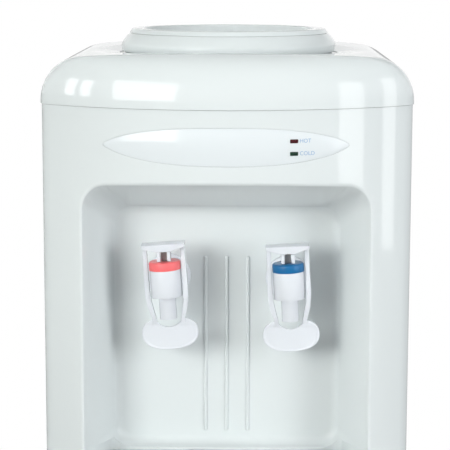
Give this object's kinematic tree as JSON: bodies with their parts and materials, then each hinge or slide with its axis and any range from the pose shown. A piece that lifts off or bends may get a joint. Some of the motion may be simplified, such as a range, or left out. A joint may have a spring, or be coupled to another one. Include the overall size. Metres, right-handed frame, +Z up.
{
  "type": "water dispenser",
  "caption": "Countertop water dispenser with a bottle seat on top, a hot and a cold lever tap in an alcove, and a lift-out drip tray.",
  "frame": {"origin": "middle of the footprint, on the surface that the rubber feet stand on", "axes": "+Z up, the taps face -Y, +X to the right as seen from the front"},
  "size_m": [0.312, 0.32, 0.49],
  "materials": {
    "white_shell": "gloss moulded ABS, cool white",
    "white_steel": "smooth white powder coat",
    "badge": "clear-coated white badge",
    "lamp_red": "dark red lamp lens, unlit",
    "lamp_green": "dark green lamp lens, unlit",
    "ring_red": "moulded coral red",
    "ring_blue": "moulded blue",
    "tap_white": "smooth moulded white",
    "stem_grey": "grey-brown moulded",
    "stainless": "drawn stainless",
    "zinc_steel": "zinc plated sheet",
    "spring_steel": "bright wire",
    "heat_sink": "extruded",
    "foam": "expanded foam",
    "ceramic": "ceramic plate",
    "mica_band": "steel-sheathed heater",
    "silicone": "translucent silicone",
    "rubber_black": "matt black rubber",
    "rubber_grey": "grey silicone rubber",
    "black_plastic": "matt black",
    "board_green": "solder-masked laminate with parts",
    "rocker_red": "red rocker",
    "rocker_green": "green rocker"
  },
  "bodies": {
    "root": {"base_pan": "white_shell", "rubber_feet": "rubber_black", "front_panel": "white_shell", "side_panel_left": "white_steel", "side_panel_right": "white_steel", "rear_panel": "white_steel", "lid": "white_shell", "display_badge": "badge", "indicator_hot": "lamp_red", "indicator_cold": "lamp_green", "lamp_board": "board_green", "seat_seal": "rubber_grey", "cold_tank": "stainless", "cold_tank_cover": "white_shell", "cold_tank_foam": "foam", "baffle_disc": "white_shell", "tank_shelf": "zinc_steel", "cold_block": "heat_sink", "peltier_module": "ceramic", "heat_sink": "heat_sink", "fan_frame": "black_plastic", "hot_tank": "stainless", "band_heater": "mica_band", "thermostats": "black_plastic", "tank_stand": "zinc_steel", "hose_feed": "silicone", "hose_hot": "silicone", "hose_cold": "silicone", "hose_drain": "silicone", "drain_outlet": "white_shell", "power_board": "board_green", "cord_gland": "tap_white", "switch_housings": "black_plastic", "case_screws": "zinc_steel", "tap_nuts": "tap_white", "tap_gaskets": "rubber_black", "tap_hot_body": "tap_white", "tap_hot_cap": "ring_red", "tap_hot_spring": "spring_steel", "tap_hot_rose": "tap_white", "tap_cold_body": "tap_white", "tap_cold_cap": "ring_blue", "tap_cold_spring": "spring_steel", "tap_cold_rose": "tap_white"},
    "bottle_seat": {"collar_ring": "white_shell", "seat_insert": "white_shell"},
    "tray": {"drip_tray": "white_shell"},
    "grille": {"drip_grille": "white_shell"},
    "heat_switch": {"rocker_heat": "rocker_red"},
    "cool_switch": {"rocker_cool": "rocker_green"},
    "fan": {"fan_rotor": "black_plastic"},
    "drain_plug": {"drain_cap": "tap_white"},
    "hot_valve": {"tap_hot_stem": "stem_grey", "tap_hot_plug": "rubber_grey", "tap_hot_pin": "stainless"},
    "hot_lever": {"tap_hot_lever": "tap_white"},
    "cold_valve": {"tap_cold_stem": "stem_grey", "tap_cold_plug": "rubber_grey", "tap_cold_pin": "stainless"},
    "cold_lever": {"tap_cold_lever": "tap_white"}
  },
  "joints": [
    {"name": "bottle_seat_lift", "type": "slide", "parent": "root", "child": "bottle_seat", "axis": [0, 0, 1], "range_m": [0, 0.1]},
    {"name": "tray_pull", "type": "slide", "parent": "root", "child": "tray", "axis": [0, -1, 0], "range_m": [0, 0.1]},
    {"name": "grille_lift", "type": "slide", "parent": "tray", "child": "grille", "axis": [0, 0, 1], "range_m": [0, 0.04]},
    {"name": "heat_rocker_tip", "type": "hinge", "parent": "root", "child": "heat_switch", "pos_m": [-0.1, 0.15, 0.401], "axis": [1, 0, 0], "range_deg": [0, 18]},
    {"name": "cool_rocker_tip", "type": "hinge", "parent": "root", "child": "cool_switch", "pos_m": [-0.1, 0.15, 0.365], "axis": [1, 0, 0], "range_deg": [0, 18]},
    {"name": "fan_spin", "type": "hinge", "parent": "root", "child": "fan", "pos_m": [0, 0.12, 0.365], "axis": [0, 1, 0], "continuous": true},
    {"name": "drain_cap_pull", "type": "slide", "parent": "root", "child": "drain_plug", "axis": [0, 1, 0], "range_m": [0, 0.03]},
    {"name": "hot_valve_lift", "type": "slide", "parent": "root", "child": "hot_valve", "axis": [-0.0698, 0, 0.9976], "range_m": [0, 0.00188], "stiffness_N_per_m": 120, "springref_m": -0.003, "deforming": ["tap_hot_spring"]},
    {"name": "hot_lever_push", "type": "hinge", "parent": "hot_valve", "child": "hot_lever", "pos_m": [-0.05223, -0.109, 0.30933], "axis": [0.9976, 0, 0.0698], "range_deg": [0, 18]},
    {"name": "cold_valve_lift", "type": "slide", "parent": "root", "child": "cold_valve", "axis": [-0.0523, 0, 0.9986], "range_m": [0, 0.00188], "stiffness_N_per_m": 120, "springref_m": -0.003, "deforming": ["tap_cold_spring"]},
    {"name": "cold_lever_push", "type": "hinge", "parent": "cold_valve", "child": "cold_lever", "pos_m": [0.05105, -0.109, 0.30806], "axis": [0.9986, 0, 0.0523], "range_deg": [0, 18]}
  ],
  "couplings": [
    {"joint": "hot_lever_push", "follows": "hot_valve_lift", "rad_per_m": 166.67},
    {"joint": "cold_lever_push", "follows": "cold_valve_lift", "rad_per_m": 166.67}
  ]
}
